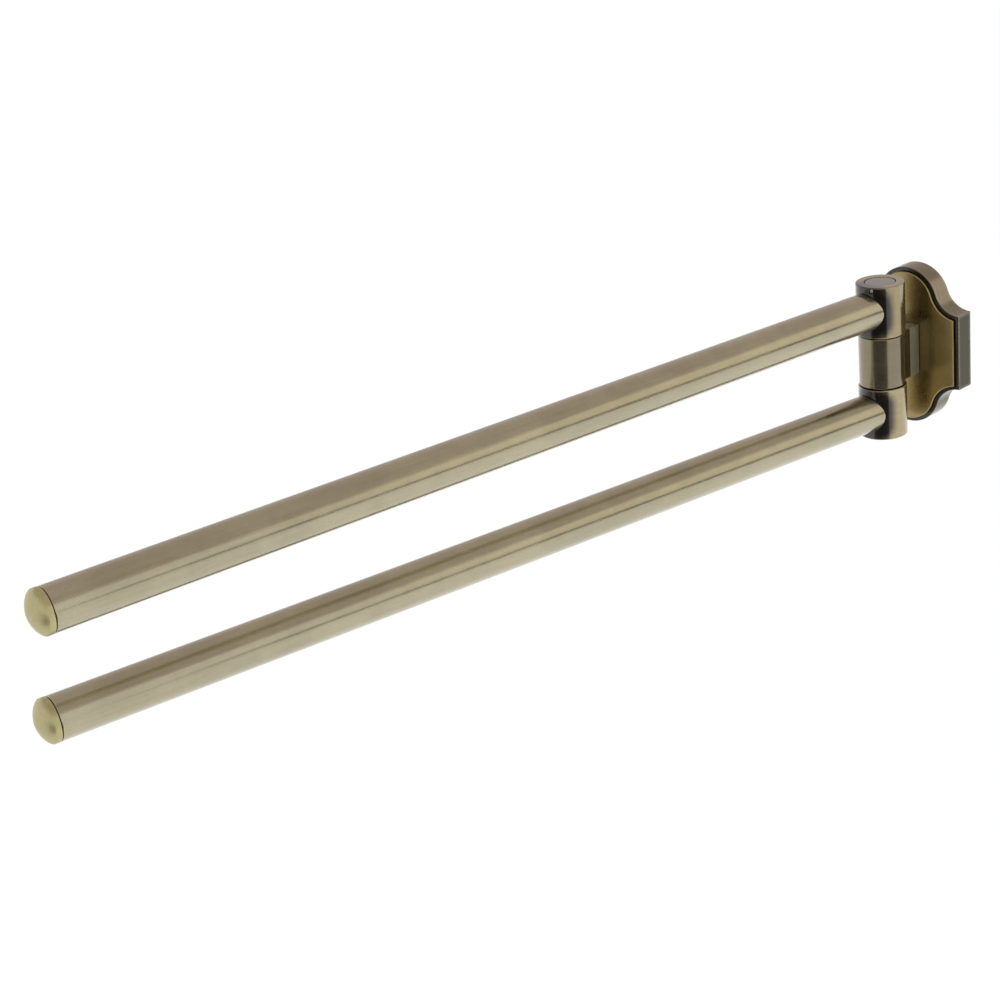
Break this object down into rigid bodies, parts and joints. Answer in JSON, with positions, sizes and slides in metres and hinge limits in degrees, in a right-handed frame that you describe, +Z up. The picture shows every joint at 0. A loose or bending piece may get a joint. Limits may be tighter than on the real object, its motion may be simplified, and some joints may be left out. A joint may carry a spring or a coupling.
{
  "type": "swivel towel rack",
  "caption": "Wall-mounted towel rack in antique brass with round tube arms, one above the other, that swing on a vertical hinge in front of an ogee wall plate.",
  "frame": {"origin": "on the wall plane, at the middle of the wall plate's back", "axes": "+Y into the wall, arms reach towards -Y; +Z up; +X to the right seen from the room"},
  "size_m": [0.0951, 0.4069, 0.068],
  "materials": {
    "plate_brass": "antique brass, dark patina, brushed under clear lacquer",
    "hinge_brass": "antique brass, brushed satin under clear lacquer",
    "tube_brass": "antique brass tube, fine lengthwise brushing",
    "cap_brass": "antique brass, polished satin",
    "plated_steel": "zinc plated",
    "fastener_steel": "stainless, machined",
    "nylon": "black nylon"
  },
  "bodies": {
    "base": {"escutcheon": "plate_brass", "cover_plate": "plate_brass", "wall_bracket": "plated_steel", "bracket_grub_screw": "fastener_steel", "hinge_bracket": "hinge_brass", "backing_plate": "plated_steel", "bracket_screw_upper": "fastener_steel", "bracket_screw_lower": "fastener_steel", "hinge_pin": "fastener_steel", "pin_washer": "fastener_steel", "pin_nut": "fastener_steel", "spring_washer": "fastener_steel", "thrust_washer_upper": "nylon", "thrust_washer_lower": "nylon"},
    "upper_arm": {"upper_knuckle": "hinge_brass", "upper_bush": "nylon", "upper_pin_plug": "hinge_brass", "plug_lock_screw": "fastener_steel", "upper_arm_stud": "fastener_steel", "upper_tube_insert": "fastener_steel", "upper_tube": "tube_brass", "upper_end_cap": "cap_brass"},
    "lower_arm": {"lower_knuckle": "hinge_brass", "lower_bush": "nylon", "lower_pin_plug": "hinge_brass", "lower_arm_stud": "fastener_steel", "lower_tube_insert": "fastener_steel", "lower_tube": "tube_brass", "lower_end_cap": "cap_brass"}
  },
  "joints": [
    {"name": "upper_swing", "type": "hinge", "parent": "base", "child": "upper_arm", "pos_m": [0, -0.0275, 0.0221], "axis": [0, 0, 1], "range_deg": [-82.7, 97.3]},
    {"name": "lower_swing", "type": "hinge", "parent": "base", "child": "lower_arm", "pos_m": [0, -0.0275, -0.0221], "axis": [0, 0, 1], "range_deg": [-80.5, 99.5]}
  ]
}
